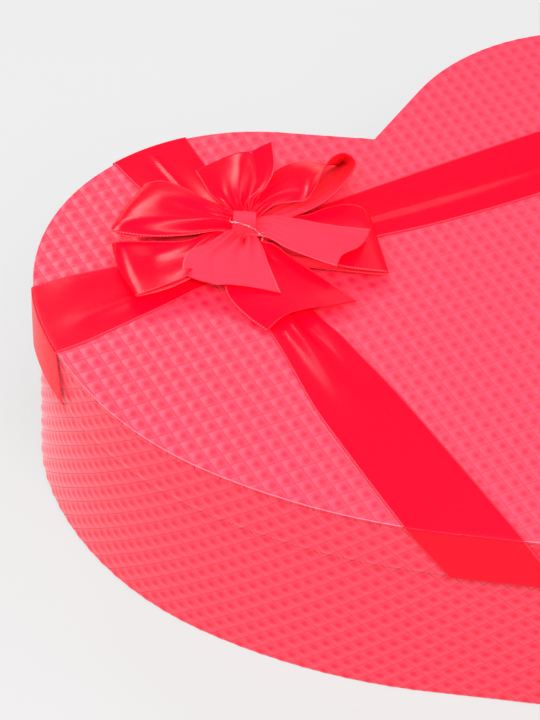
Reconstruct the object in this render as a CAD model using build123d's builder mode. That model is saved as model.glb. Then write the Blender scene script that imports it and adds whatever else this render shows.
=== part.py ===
from build123d import *

import os
from math import cos, radians, sin, tan

# A heart-shaped gift box of wrapped greyboard with a lift-off lid, a satin ribbon cross and a bow.
# Millimetres, Z up. The origin is the middle of the underside, and the heart's tip points along -Y.

os.makedirs("parts", exist_ok=True)

# The lid's outline from the notch to the tip: a straight flank, three tangent arcs and a straight run
notch_length = 33.8
notch_angle = 31.5
lobe_radius = 80.4
lobe_sweep_angle = 111.0
side_radius = 122.8
side_sweep_angle = 43.5
hip_radius = 205.7
hip_sweep_angle = 22.6

# Heights of the closed box
box_height = 80.0
apron_drop = 20.0

# Boards and papers
wall_board = 1.5
floor_board = 2.0
panel_board = 1.5
apron_board = 1.2
wrap_paper = 0.3
lining_paper = 0.2

# How the papers are turned over the edges of the boards, and how loosely the lid fits
panel_overhang = 0.5
rim_turn_in = 12.0
floor_turn_under = 14.0
underside_margin = 3.0
apron_turn_in = 8.0
lid_clearance = 0.4

# Satin ribbon, drawn in where the two runs cross under the bow
ribbon_width = 32.0
ribbon_ply = 0.3
ribbon_waist = 24.0
waist_run = 62.0
ribbon_lap = 1.0
ribbon_gap = 0.3
knot_past_lobe_middle = 2.0
knot_below_notch = 36.8

# Bow: reach from the knot's middle, and the knot band with its tie wire
bow_reach = 48.0
knot_length = 8.0
knot_depth = 10.0
knot_height = 15.0
knot_turn = -30.0
knot_round = 2.0
gather_width = 7.0
loop_swell_share = 0.55
wire_diameter = 0.8
wire_tail = 4.0
wire_bend = 1.5
wire_level_share = 0.80

# Loops: azimuth and roll in degrees, then the reach as a share of the bow's reach, the heights of the root,
# the upper ply, the lower ply and the fold and the fold's radius as shares of the knot's height, and the
# width at the fold as a share of the ribbon's width
bow_loop_shares = {
    "bow_loop_lower_left": (176, 0, 0.95, 0.20, 0.48, 0.12, 0.24, 0.08, 0.80),
    "bow_loop_lower_right": (-20, 0, 1.00, 0.21, 0.48, 0.12, 0.22, 0.08, 0.84),
    "bow_loop_upper_left": (146, 0, 0.96, 0.74, 1.34, 0.62, 0.72, 0.10, 1.00),
    "bow_loop_upper_right": (9, 16, 1.00, 0.88, 1.42, 0.84, 1.20, 0.22, 0.86),
}

# Tails: azimuth and the slant of the cut end in degrees, then the reach as a share of the bow's reach, the
# heights of the root, middle and end as shares of the knot's height, and the end's share of the ribbon's width
bow_tail_shares = {
    "bow_tail_front": (-130, 14, 0.62, 0.52, 0.66, 0.58, 1.06),
    "bow_tail_lower": (-82, 14, 0.88, 0.46, 0.44, 0.20, 1.06),
    "bow_tail_right": (-42, -20, 0.80, 0.59, 0.66, 0.58, 0.74),
    "bow_tail_top": (70, 12, 0.72, 1.00, 1.46, 1.54, 0.88),
}

# Where each layer lies, worked out from the outside of the lid inwards and from the lid's top down
apron_skin_inset = panel_overhang
apron_board_inset = apron_skin_inset + wrap_paper
apron_inner_inset = apron_board_inset + apron_board
base_inset = apron_inner_inset + wrap_paper + lid_clearance
wall_inset = base_inset + wrap_paper
wall_inner_inset = wall_inset + wall_board
panel_top = box_height - wrap_paper
panel_bottom = panel_top - panel_board
rim_level = panel_bottom - lining_paper
apron_bottom = box_height - apron_drop
board_bottom = wrap_paper + wrap_paper
floor_top = board_bottom + floor_board

# Every cut runs this far past what it cuts
overrun = box_height / 2


def heart(inset):
    """The lid's outline drawn in by an inset, with the lid's own notch at the sketch's origin."""
    angle = radians(notch_angle)
    with BuildSketch() as outline:
        with BuildLine():
            start = (0, -inset / cos(angle))
            flank = PolarLine(start, notch_length + inset * tan(angle), 180 - notch_angle)
            lobe = JernArc(flank @ 1, flank % 1, lobe_radius - inset, lobe_sweep_angle)
            side = JernArc(lobe @ 1, lobe % 1, side_radius - inset, side_sweep_angle)
            hip = JernArc(side @ 1, side % 1, hip_radius - inset, hip_sweep_angle)
            Line(hip @ 1, hip @ 1 - (hip % 1) * ((hip @ 1).X / (hip % 1).X))
            mirror(about=Plane.YZ)
        make_face()
    return outline.sketch


outline_box = heart(0).bounding_box()
notch_y = -(outline_box.min.Y + outline_box.max.Y) / 2

# The ribbons cross on the left lobe, a little past the middle of its arc
lobe_middle = notch_length * cos(radians(notch_angle)) + lobe_radius * sin(radians(notch_angle))
knot_x = -lobe_middle - knot_past_lobe_middle
knot_y = notch_y - knot_below_notch


def level(height):
    """The horizontal plane at a height, with its origin under the lid's notch."""
    return Plane((0, notch_y, height))


def half_ring(outer_inset, inner_inset, side):
    """One half of the band between two insets, left of the axis or right of it."""
    with BuildSketch() as band:
        add(heart(outer_inset))
        add(heart(inner_inset), mode=Mode.SUBTRACT)
        split(bisect_by=Plane.YZ, keep=Keep.TOP if side == "right" else Keep.BOTTOM)
    return band.sketch


def ring(outer_inset, inner_inset):
    """The whole band between two insets."""
    with BuildSketch() as band:
        add(heart(outer_inset))
        add(heart(inner_inset), mode=Mode.SUBTRACT)
    return band.sketch


def export(part, name):
    part.label = name
    export_step(part, f"parts/{name}.step")


# Base: a heart of board inside two bent wall strips, wrapped outside and lined inside
with BuildPart() as base_floor_board:
    with BuildSketch(level(board_bottom)):
        add(heart(wall_inner_inset))
    extrude(amount=floor_board)
export(base_floor_board.part, "base_floor_board")

for side in ("left", "right"):
    with BuildPart() as base_wall:
        with BuildSketch(level(board_bottom)):
            add(half_ring(wall_inset, wall_inner_inset, side))
        extrude(amount=rim_level - wrap_paper - board_bottom)
    export(base_wall.part, f"base_wall_{side}")

with BuildPart() as base_wall_wrap:
    with BuildSketch(level(wrap_paper)):
        add(ring(base_inset, wall_inset))
    extrude(amount=rim_level - wrap_paper)
    with BuildSketch(level(wrap_paper)):
        add(ring(wall_inset, base_inset + floor_turn_under))
    extrude(amount=wrap_paper)
    with BuildSketch(level(rim_level - wrap_paper)):
        add(ring(wall_inset, wall_inner_inset + wrap_paper))
    extrude(amount=wrap_paper)
    with BuildSketch(level(rim_level - rim_turn_in)):
        add(ring(wall_inner_inset, wall_inner_inset + wrap_paper))
    extrude(amount=rim_turn_in)
export(base_wall_wrap.part, "base_wall_wrap")

with BuildPart() as base_underside_sheet:
    with BuildSketch(level(0)):
        add(heart(base_inset + underside_margin))
    extrude(amount=wrap_paper)
export(base_underside_sheet.part, "base_underside_sheet")

with BuildPart() as base_floor_lining:
    with BuildSketch(level(floor_top)):
        add(heart(wall_inner_inset))
    extrude(amount=lining_paper)
export(base_floor_lining.part, "base_floor_lining")

with BuildPart() as base_wall_lining:
    with BuildSketch(level(floor_top + lining_paper)):
        add(ring(wall_inner_inset, wall_inner_inset + lining_paper))
    extrude(amount=rim_level - rim_turn_in - floor_top - lining_paper)
export(base_wall_lining.part, "base_wall_lining")

# Lid: a heart of board over two bent apron strips, with its own wraps and linings
with BuildPart() as lid_panel_board:
    with BuildSketch(level(panel_bottom)):
        add(heart(wrap_paper))
    extrude(amount=panel_board)
export(lid_panel_board.part, "lid_panel_board")

for side in ("left", "right"):
    with BuildPart() as lid_apron:
        with BuildSketch(level(apron_bottom + wrap_paper)):
            add(half_ring(apron_board_inset, apron_inner_inset, side))
        extrude(amount=panel_bottom - apron_bottom - wrap_paper)
    export(lid_apron.part, f"lid_apron_{side}")

with BuildPart() as lid_top_wrap:
    with BuildSketch(level(panel_top)):
        add(heart(0))
    extrude(amount=wrap_paper)
    with BuildSketch(level(panel_bottom)):
        add(ring(0, wrap_paper))
    extrude(amount=panel_board)
export(lid_top_wrap.part, "lid_top_wrap")

with BuildPart() as lid_apron_wrap:
    with BuildSketch(level(apron_bottom)):
        add(ring(apron_skin_inset, apron_board_inset))
    extrude(amount=panel_bottom - apron_bottom)
    with BuildSketch(level(apron_bottom)):
        add(ring(apron_board_inset, apron_inner_inset + wrap_paper))
    extrude(amount=wrap_paper)
    with BuildSketch(level(apron_bottom)):
        add(ring(apron_inner_inset, apron_inner_inset + wrap_paper))
    extrude(amount=apron_turn_in)
export(lid_apron_wrap.part, "lid_apron_wrap")

with BuildPart() as lid_panel_lining:
    with BuildSketch(level(rim_level)):
        add(heart(apron_inner_inset))
    extrude(amount=lining_paper)
export(lid_panel_lining.part, "lid_panel_lining")

with BuildPart() as lid_apron_lining:
    with BuildSketch(level(apron_bottom + apron_turn_in)):
        add(ring(apron_inner_inset, apron_inner_inset + lining_paper))
    extrude(amount=rim_level - apron_bottom - apron_turn_in)
export(lid_apron_lining.part, "lid_apron_lining")

# Ribbons: each run lies on the lid, folds over its rim and turns under the apron's edge
def knot_plane(turn, height):
    """The horizontal plane over the crossing of the ribbons, turned and lifted off the lid's paper."""
    return Plane((knot_x, knot_y, box_height + height)).rotated((0, 0, turn))


def ribbon_run(heading):
    """The flat run over the lid, full width at its ends and drawn in to a waist where the runs cross."""
    half = ribbon_width / 2
    waist = ribbon_waist / 2
    reach = outline_box.size.X
    edge = [(-reach, half), (-waist_run, half), (-waist, waist), (waist, waist), (waist_run, half), (reach, half)]
    with BuildPart() as run:
        with BuildSketch(knot_plane(heading, 0)):
            with BuildLine():
                Polyline(*edge, *[(x, -y) for x, y in reversed(edge)], close=True)
            make_face()
        extrude(amount=ribbon_ply)
        with BuildSketch(level(box_height)):
            add(heart(0))
        extrude(amount=ribbon_ply, mode=Mode.INTERSECT)
    return run.part


def ribbon_drop(heading):
    """The end that goes over the rim on a heading and keeps straight on down the apron, as a taut ribbon does."""
    lid_rim = (level(box_height) * heart(0)).face()
    knot = Vector(knot_x, knot_y, box_height)
    run = Vector(1, 0, 0).rotate(Axis.Z, heading)
    crossing = (Line(knot, knot + run * outline_box.size.X) & lid_rim).edges().sort_by(Axis(knot, run))[-1]
    rim = crossing @ 1
    tangent = lid_rim.outer_wire().tangent_at(lid_rim.outer_wire().param_at_point(rim))
    normal = tangent.cross(Vector(0, 0, 1))
    out = normal if normal.dot(run) > 0 else normal * -1
    along = Vector(0, 0, 1).cross(out)
    drop = apron_drop + 2 * ribbon_ply
    foot = drop * along.dot(run) / out.dot(run)
    half = ribbon_width / 2 / out.dot(run)
    with BuildPart() as end:
        with BuildSketch(level(apron_bottom - ribbon_ply)):
            add(ring(-ribbon_ply, 0))
        extrude(amount=drop)
        with BuildSketch(level(apron_bottom - ribbon_ply)):
            add(ring(-ribbon_ply, apron_inner_inset))
        extrude(amount=ribbon_ply)
        with BuildSketch(Plane((rim.X, rim.Y, box_height + ribbon_ply), x_dir=along, z_dir=out)):
            with BuildLine():
                Polyline((-half, 0), (half, 0), (half + foot, -drop), (foot - half, -drop), close=True)
            make_face()
        extrude(amount=overrun, both=True, mode=Mode.INTERSECT)
    return end.part


with BuildPart() as cross_ribbon:
    add(ribbon_run(0))
    add(ribbon_drop(0))
    add(ribbon_drop(180))
export(cross_ribbon.part, "cross_ribbon")

with BuildPart() as long_ribbon:
    add(ribbon_run(90))
    with BuildSketch(knot_plane(90, 0)):
        Rectangle(ribbon_waist + 2 * ribbon_gap, ribbon_width)
    extrude(amount=ribbon_ply, mode=Mode.SUBTRACT)
    with BuildSketch(knot_plane(90, ribbon_ply)):
        Rectangle(ribbon_waist + 2 * (ribbon_gap + ribbon_lap), ribbon_waist)
    extrude(amount=ribbon_ply)
    add(ribbon_drop(90))
    add(ribbon_drop(-90))
export(long_ribbon.part, "long_ribbon")

# Bow: a knot band arched over the crossing, with gathered loops and cut tails fanning out of it
knot_foot = 2 * ribbon_ply
with BuildPart() as bow_knot_band:
    with BuildSketch(knot_plane(knot_turn, knot_foot)):
        Rectangle(knot_length, knot_depth)
    extrude(amount=knot_height - knot_foot)
    across = Vector(1, 0, 0).rotate(Axis.Z, knot_turn)
    fillet(bow_knot_band.faces().sort_by(Axis.Z)[-1].edges().filter_by(Axis((0, 0, 0), across)), knot_round)
export(bow_knot_band.part, "bow_knot_band")


def bow_planes(azimuth, roll, height):
    """The planes through a piece's root: one upright along the piece, and one flat with its width across."""
    outward = Vector(1, 0, 0).rotate(Axis.Z, azimuth)
    up = Vector(0, 0, 1).rotate(Axis((0, 0, 0), outward), roll)
    root = (knot_x, knot_y, box_height + height)
    return Plane(root, x_dir=outward, z_dir=outward.cross(up)), Plane(root, x_dir=outward, z_dir=up)


def fan(reach, end_width, slant):
    """The plan of a piece gathered at the knot and spread towards its end, which is cut at a slant."""
    root = gather_width / 2
    half = end_width / 2
    skew = half * tan(radians(slant))
    with BuildSketch() as plan:
        with BuildLine():
            Polyline((0, root), (reach - skew, half), (reach + skew, -half), (0, -root), close=True)
        make_face()
    return plan.sketch


def leaf(root, reach, upper, lower, fold, fold_round):
    """A loop's outline from the side: two swelling plies that meet in a rounded fold."""
    middle = reach * loop_swell_share
    cap = reach - fold_round
    with BuildSketch() as outline:
        with BuildLine():
            ThreePointArc((root, 0), (middle, upper), (cap, fold + fold_round))
            ThreePointArc((cap, fold + fold_round), (reach, fold), (cap, fold - fold_round))
            ThreePointArc((cap, fold - fold_round), (middle, lower), (root, 0))
        make_face()
    return outline.sketch


for name, (azimuth, roll, *shares) in bow_loop_shares.items():
    reach = bow_reach * shares[0]
    root, upper, lower, fold, fold_round = [knot_height * share for share in shares[1:6]]
    upright, flat = bow_planes(azimuth, roll, root)
    with BuildPart() as bow_loop:
        with BuildSketch(upright):
            add(leaf(0, reach, upper - root, lower - root, fold - root, fold_round))
            inner_plies = (upper - root - ribbon_ply, lower - root + ribbon_ply)
            inner_fold = (fold - root, fold_round - ribbon_ply)
            add(leaf(gather_width / 2, reach - ribbon_ply, *inner_plies, *inner_fold), mode=Mode.SUBTRACT)
        extrude(amount=ribbon_width, both=True)
        with BuildSketch(flat):
            add(fan(reach, ribbon_width * shares[6], 0))
        extrude(amount=overrun, both=True, mode=Mode.INTERSECT)
        with BuildSketch(knot_plane(knot_turn, 0)):
            Rectangle(knot_length, knot_depth)
        extrude(amount=overrun, mode=Mode.SUBTRACT)
    export(bow_loop.part, name)

for name, (azimuth, slant, *shares) in bow_tail_shares.items():
    reach = bow_reach * shares[0]
    root, middle, end = [knot_height * share for share in shares[1:4]]
    upright, flat = bow_planes(azimuth, 0, root)
    with BuildPart() as bow_tail:
        with BuildSketch(upright):
            with BuildLine():
                rise = ThreePointArc((0, 0), (reach / 2, middle - root), (reach, end - root))
                PolarLine(rise @ 1, overrun, direction=rise % 1)
            trace(line_width=ribbon_ply)
        extrude(amount=ribbon_width, both=True)
        with BuildSketch(flat):
            add(fan(reach, ribbon_width * shares[4], slant))
        extrude(amount=overrun, both=True, mode=Mode.INTERSECT)
        with BuildSketch(knot_plane(knot_turn, 0)):
            Rectangle(knot_length, knot_depth)
        extrude(amount=overrun, mode=Mode.SUBTRACT)
    export(bow_tail.part, name)

# Tie wire: drawn across the knot's front, with its twisted end bent outwards
wire_front = -knot_depth / 2 - wire_diameter / 2
wire_height = knot_height * wire_level_share
with BuildPart() as bow_tie_wire:
    with BuildLine(knot_plane(knot_turn, wire_height)) as wire_path:
        left = (-knot_length / 2, wire_front)
        right = (knot_length / 2, wire_front)
        FilletPolyline(left, right, (knot_length / 2 + wire_tail, wire_front - wire_tail), radius=wire_bend)
    with BuildSketch(wire_path.line ^ 0):
        Circle(wire_diameter / 2)
    sweep()
export(bow_tie_wire.part, "bow_tie_wire")
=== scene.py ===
from math import cos, pi, radians, sin, sqrt, tan

import bmesh
import bpy
import numpy as np
from mathutils import Matrix, Vector


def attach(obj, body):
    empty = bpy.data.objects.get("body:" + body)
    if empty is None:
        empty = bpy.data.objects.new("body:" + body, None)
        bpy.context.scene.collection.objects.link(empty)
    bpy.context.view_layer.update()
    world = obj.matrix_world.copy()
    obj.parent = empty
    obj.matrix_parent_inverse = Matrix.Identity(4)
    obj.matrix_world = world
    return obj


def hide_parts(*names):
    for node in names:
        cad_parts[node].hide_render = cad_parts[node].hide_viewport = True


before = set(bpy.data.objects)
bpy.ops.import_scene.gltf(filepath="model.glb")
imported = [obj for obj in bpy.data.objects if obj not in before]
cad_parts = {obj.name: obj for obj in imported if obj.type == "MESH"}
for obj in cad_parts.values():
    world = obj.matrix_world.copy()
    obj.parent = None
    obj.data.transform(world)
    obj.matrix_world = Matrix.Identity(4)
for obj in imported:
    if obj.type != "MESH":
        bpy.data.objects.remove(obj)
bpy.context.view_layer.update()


# Boards of the base: a heart of grey recycled board for the floor, and two strips bent round it for the wall.
# The board is pressed from waste paper, so it is grey-brown and flecked with fibres. Glue and paper hold it.
def fill(tree, node, inputs):
    """A node's inputs set to a value or linked to another node's output."""
    for socket, value in inputs.items():
        if isinstance(value, bpy.types.NodeSocket):
            tree.links.new(value, node.inputs[socket])
        else:
            node.inputs[socket].default_value = value


def place(tree, kind, inputs=None, **settings):
    """A shader node with its settings and its inputs."""
    made = tree.nodes.new(kind)
    for key, value in settings.items():
        setattr(made, key, value)
    fill(tree, made, inputs or {})
    return made


def mixed(tree, share, first, second):
    """A tone between two, by a share that changes over the surface."""
    return place(tree, "ShaderNodeMix", {"Factor": share, "A": first, "B": second}, data_type="RGBA").outputs["Result"]


def ramp(tree, value, start, stop, low=0.0, high=1.0, kind="LINEAR"):
    """A number that goes from low to high as a value goes from start to stop."""
    limits = {"Value": value, "From Min": start, "From Max": stop, "To Min": low, "To Max": high}
    return place(tree, "ShaderNodeMapRange", limits, interpolation_type=kind).outputs["Result"]


def raised(tree, strength, depth, height):
    """The surface's normal over a fine relief."""
    relief = {"Strength": strength, "Distance": depth, "Height": height}
    return place(tree, "ShaderNodeBump", relief).outputs["Normal"]


def new_finish(name):
    """An empty material with its shader, for the section to fill in."""
    finish = bpy.data.materials.new(name)
    finish.use_nodes = True
    return finish, finish.node_tree, finish.node_tree.nodes["Principled BSDF"]


def new_group(name, inputs, outputs):
    """A shader node group with float or vector inputs and float outputs."""
    group = bpy.data.node_groups.new(name, "ShaderNodeTree")
    for label, kind in inputs.items():
        group.interface.new_socket(label, in_out="INPUT", socket_type=kind)
    for label in outputs:
        group.interface.new_socket(label, in_out="OUTPUT", socket_type="NodeSocketFloat")
    return group, group.nodes.new("NodeGroupInput").outputs, group.nodes.new("NodeGroupOutput")


paper_fibre, given, put_out = new_group(
    "paper_fibre", {"Vector": "NodeSocketVector", "Fineness": "NodeSocketFloat"}, ("Fleck", "Height"))
pulp = place(paper_fibre, "ShaderNodeTexNoise",
             {"Vector": given["Vector"], "Scale": given["Fineness"], "Detail": 5.0, "Roughness": 0.65})
fibre_run = place(paper_fibre, "ShaderNodeMapping", {"Vector": given["Vector"], "Rotation": (0.3, 0.2, 0.6),
                                                    "Scale": (0.25, 1.6, 1.0)})
fibres = place(paper_fibre, "ShaderNodeTexNoise",
               {"Vector": fibre_run.outputs["Vector"], "Scale": given["Fineness"], "Detail": 3.0})
fill(paper_fibre, put_out, {"Fleck": ramp(paper_fibre, fibres.outputs["Fac"], 0.56, 0.72, kind="SMOOTHSTEP"),
                            "Height": pulp.outputs["Fac"]})


def fibres_in(tree, fineness):
    """The paper's fibres placed in a material, at a fineness in waves per metre."""
    where = place(tree, "ShaderNodeTexCoord").outputs["Object"]
    return place(tree, "ShaderNodeGroup", {"Vector": where, "Fineness": fineness}, node_tree=paper_fibre).outputs


greyboard, tree, shader = new_finish("greyboard")
dark_pulp, light_pulp, waste_fleck = (0.33, 0.30, 0.265, 1), (0.50, 0.47, 0.43, 1), (0.24, 0.21, 0.19, 1)
fibre = fibres_in(tree, 700.0)
pulp_tone = mixed(tree, fibre["Height"], dark_pulp, light_pulp)
fill(tree, shader, {"Base Color": mixed(tree, fibre["Fleck"], pulp_tone, waste_fleck),
                    "Normal": raised(tree, 0.35, 0.0003, fibre["Height"]),
                    "Roughness": 0.9, "Specular IOR Level": 0.2})


def dress(node, finish):
    """A carried-over solid gets its finish in place of the ones it had."""
    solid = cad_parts[node]
    solid.data.materials.clear()
    solid.data.materials.append(finish)


for node in ("base_floor_board", "base_wall_left", "base_wall_right"):
    dress(node, greyboard)


# Wall wrap of the base: one strip of coral covering paper, embossed with a quilt of small pillows between lines
# of dots, laid on the bias. It is glued round the wall, turned under the floor and turned in over the rim.
notch_length, notch_angle = 0.0338, radians(31.5)
rim_arcs = ((0.0804, radians(111.0)), (0.1228, radians(43.5)), (0.2057, radians(22.6)))
rim_column, tip_steps = 0.00095, 8


def half_rim(inset):
    """The right half of the lid's outline drawn in by an inset, notch to tip: its points and outward normals."""
    heading = notch_angle
    points, normals = [np.array([0.0, -inset / cos(heading)])], [(-sin(heading), cos(heading))]

    def straight_on(length, steps):
        start = points[-1]
        for step in range(steps):
            points.append(start + length * (step + 1) / steps * np.array([cos(heading), sin(heading)]))
            normals.append((-sin(heading), cos(heading)))

    straight_on(notch_length + inset * tan(heading), round(notch_length / rim_column))
    for radius, sweep in rim_arcs:
        middle = points[-1] - (radius - inset) * np.array([-sin(heading), cos(heading)])
        steps = round(radius * sweep / rim_column)
        for step in range(steps):
            turned = heading - sweep * (step + 1) / steps
            points.append(middle + (radius - inset) * np.array([-sin(turned), cos(turned)]))
            normals.append((-sin(turned), cos(turned)))
        heading -= sweep
    straight_on(points[-1][0] / -cos(heading), tip_steps)
    return np.array(points), np.array(normals)


lid_rim = half_rim(0)[0]
notch_y = -(lid_rim[:, 1].min() + lid_rim[:, 1].max()) / 2


def whole_rim(inset):
    """The whole outline from the notch round the left half to the tip and up the right half back to the notch."""
    points, normals = half_rim(inset)
    points = points + (0, notch_y)
    flip = np.array([-1, 1])
    return np.vstack([points * flip, points[-2::-1]]), np.vstack([normals * flip, normals[-2::-1]])


def along(points):
    """Distance along a row of points, from its first one."""
    return np.concatenate([[0], np.cumsum(np.linalg.norm(np.diff(points, axis=0), axis=1))])


bias_width, bias_height = 0.00763, 0.00676
pillow_rise, strip_rise = 0.00026, 0.00030
paper = 0.0003


def pillow(u, v):
    """Height of the quilt at a place counted in cells: a soft cushion in each cell, flat at the lines between."""
    return (np.sin(pi * u) * np.sin(pi * v)) ** 2


def new_piece(name, bm, body, slot, *finishes):
    """A finished mesh as an object of the scene, riding on its body. The slot is not used."""
    mesh = bpy.data.meshes.new(name)
    bm.to_mesh(mesh)
    bm.free()
    for finish in finishes:
        mesh.materials.append(finish)
    piece = bpy.data.objects.new(name, mesh)
    bpy.context.scene.collection.objects.link(piece)
    mesh.shade_smooth()
    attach(piece, body)
    return piece


def flat_grid(columns, rows):
    """A new grid, and its vertices with the column and the row that each stands in."""
    bm = bmesh.new()
    bmesh.ops.create_grid(bm, x_segments=columns, y_segments=rows, size=0.5, calc_uvs=True)
    return bm, [(vert, round((vert.co.x + 0.5) * columns), round((vert.co.y + 0.5) * rows)) for vert in bm.verts]


def lay_out(bm, at):
    """Each vertex's place on the flat sheet, for the textures."""
    uv = bm.loops.layers.uv.verify()
    for face in bm.faces:
        for loop in face.loops:
            loop[uv].uv = at[loop.vert]


def wrapped_strip(profile, embossed, phase):
    """A flat strip of paper bent round the outline. The profile gives each row's inset and height from the strip's
    one edge to the other and back on its glued side, and embossed the rows between which the quilt stands up."""
    rows = np.array(profile + profile[:1])
    travel = along(rows)
    outlines = [whole_rim(inset) for inset in rows[:, 0]]
    length = along(outlines[embossed[0]][0])
    columns = len(length) - 1
    bm, grid = flat_grid(columns, len(rows) - 1)
    way_up = np.sign(rows[embossed[1], 1] - rows[embossed[0], 1])
    height = rows[embossed[0], 1] + way_up * (travel - travel[embossed[0]])
    cells = {}
    for vert, column, row in grid:
        u = length[column] / bias_width + height[row] / bias_height - phase[0]
        v = length[column] / bias_width - height[row] / bias_height - phase[1]
        cells[vert] = (u, v)
        points, normals = outlines[row]
        pillowed = embossed[0] <= row <= embossed[1] and column % (columns // 2)
        rise = strip_rise * pillow(u, v) if pillowed else 0
        place_on = points[column] + normals[column] * rise
        vert.co = (place_on[0], place_on[1], rows[row, 1])
    lay_out(bm, cells)
    bmesh.ops.remove_doubles(bm, verts=bm.verts, dist=1e-6)
    bmesh.ops.recalc_face_normals(bm, faces=bm.faces)
    return bm


def turn(inset, height, radius, start, stop, steps=4):
    """Rows round a rounded turn of the paper, about a middle given by its inset and height."""
    angles = [radians(start + (stop - start) * step / steps) for step in range(steps + 1)]
    return [(inset - radius * cos(a), height + radius * sin(a)) for a in angles]


def reckon(tree, operation, *values, **settings):
    """The result of one step of arithmetic on numbers or other nodes' outputs."""
    return place(tree, "ShaderNodeMath", dict(enumerate(values)), operation=operation, **settings).outputs[0]


# The quilt's dark lines and their dots, with widths in shares of a cell, and the crowns of its pillows, which lie a
# little to one flank of each cell. The crowns carry painted shade: a deeper red set where the pillows' shading falls.
quilt_lines, given, put_out = new_group("quilt_lines", {"Cell": "NodeSocketVector"}, ("Line", "Crown"))
cell = place(quilt_lines, "ShaderNodeSeparateXYZ", {"Vector": given["Cell"]}).outputs
dot_half_pitch = 0.0625
lines, arches = [], []
for axis, across, flank in (("X", "Y", -0.05), ("Y", "X", 0.15)):
    off_line = reckon(quilt_lines, "PINGPONG", cell[axis], 0.5)
    thin = ramp(quilt_lines, off_line, 0.020, 0.052, 1.0, 0.0, "SMOOTHSTEP")
    dotted = ramp(quilt_lines, reckon(quilt_lines, "PINGPONG", cell[across], dot_half_pitch), 0.01, 0.05, 1.0, 0.3)
    lines.append(reckon(quilt_lines, "MULTIPLY", thin, dotted))
    turned = reckon(quilt_lines, "MULTIPLY_ADD", cell[axis], pi, flank * pi)
    arches.append(reckon(quilt_lines, "SINE", turned))
arch = reckon(quilt_lines, "MULTIPLY", *arches)
fill(quilt_lines, put_out, {"Line": reckon(quilt_lines, "MAXIMUM", *lines),
                            "Crown": reckon(quilt_lines, "POWER", arch, 2.0)})

# One float attribute is above 0 on the fold's rounded edge, which is painted pale as a painted highlight where the
# paper is also rubbed, and below 0 on the turned-down band, which is painted darker as painted shade where no sheen
# falls.
embossed_paper, tree, shader = new_finish("embossed_paper")
# The crown tone is painted shade: each pillow's crown is painted deeper red than its paler valleys, standing in for the
# pillows' shading and sheen.
coral_low, coral_high, crown_painted_shade = (0.88, 0.024, 0.058, 1), (0.94, 0.033, 0.073, 1), (0.82, 0.0006, 0.024, 1)
ink_and_groove_shade, pale_edge_lit_and_rubbed, fold_band_painted_shade = (0.28, 0.0005, 0.008, 1), (0.92, 0.19, 0.24, 1), (0.50, 0.001, 0.010, 1)
cell_place = place(tree, "ShaderNodeUVMap").outputs["UV"]
quilt = place(tree, "ShaderNodeGroup", {"Cell": cell_place}, node_tree=quilt_lines).outputs
fibre = fibres_in(tree, 1500.0)
fold_paint = place(tree, "ShaderNodeAttribute", attribute_name="fold_paint").outputs["Fac"]
# The dark lines are the paper's dotted print. They are also painted darker as shade in the grooves they sit in.
inked_and_groove_shaded = reckon(tree, "MULTIPLY", quilt["Line"], 0.8)
# The fold's edge: a painted highlight, broken up where the paper is rubbed pale.
pale_edge_share = reckon(tree, "MULTIPLY", fold_paint, ramp(tree, fibre["Height"], 0.35, 0.60, 0.35, 1.0))
# The fold's band: painted shade, with its gloss lowered as well.
fold_band_shade = reckon(tree, "MULTIPLY", fold_paint, -1.0, use_clamp=True)
tone = mixed(tree, fibre["Height"], coral_low, coral_high)
for share, laid_over in ((quilt["Crown"], crown_painted_shade), (inked_and_groove_shaded, ink_and_groove_shade), (pale_edge_share, pale_edge_lit_and_rubbed), (fold_band_shade, fold_band_painted_shade)):
    tone = mixed(tree, share, tone, laid_over)
relief = reckon(tree, "MULTIPLY_ADD", quilt["Line"], -1.0, 1.0)
grained = reckon(tree, "MULTIPLY_ADD", fibre["Height"], 0.12, relief)
gloss = ramp(tree, fibre["Height"], 0.3, 0.7, 0.36, 0.46)
dull = reckon(tree, "MAXIMUM", quilt["Line"], reckon(tree, "MULTIPLY", quilt["Crown"], 0.40))
fill(tree, shader, {"Base Color": tone, "Normal": raised(tree, 0.5, 0.00012, grained),
                    "Roughness": reckon(tree, "MULTIPLY_ADD", dull, 0.45, gloss),
                    "Specular IOR Level": ramp(tree, fold_band_shade, 0.0, 1.0, 0.82, 0.12),
                    "Sheen Weight": 0.5, "Sheen Roughness": 0.3, "Sheen Tint": (1.0, 0.75, 0.80, 1)})

base_inset, inner_face, base_top, base_foot = 0.0027, 0.0048, 0.078, 0.0003
turned_under, turned_in, wall_fold = 0.014, 0.012, 0.0005
wall_rows, wall_phase = 76, (0.77, 0.44)
profile = [(base_inset + turned_under, base_foot), (base_inset + turned_under / 2, base_foot)]
profile += turn(base_inset + wall_fold, base_foot + wall_fold, wall_fold, 270, 360)
foot_row = len(profile) - 1
profile += [(base_inset, base_foot + wall_fold + (base_top - base_foot - 2 * wall_fold) * row / wall_rows)
            for row in range(1, wall_rows + 1)]
rim_row = len(profile) - 1
profile += turn(base_inset + wall_fold, base_top - wall_fold, wall_fold, 0, 90)[1:]
profile += turn(inner_face - wall_fold, base_top - wall_fold, wall_fold, 90, 180)
profile += [(inner_face, base_top - turned_in / 2), (inner_face, base_top - turned_in)]
profile += [(inner_face - paper, base_top - turned_in), (inner_face - paper, base_top - paper),
            (base_inset + paper, base_top - paper), (base_inset + paper, base_foot + paper),
            (base_inset + turned_under, base_foot + paper)]
wall_wrap = new_piece("wall_wrap", wrapped_strip(profile, (foot_row, rim_row), wall_phase), "base",
                      "embossed_paper", embossed_paper)
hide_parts("base_wall_wrap")


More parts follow.
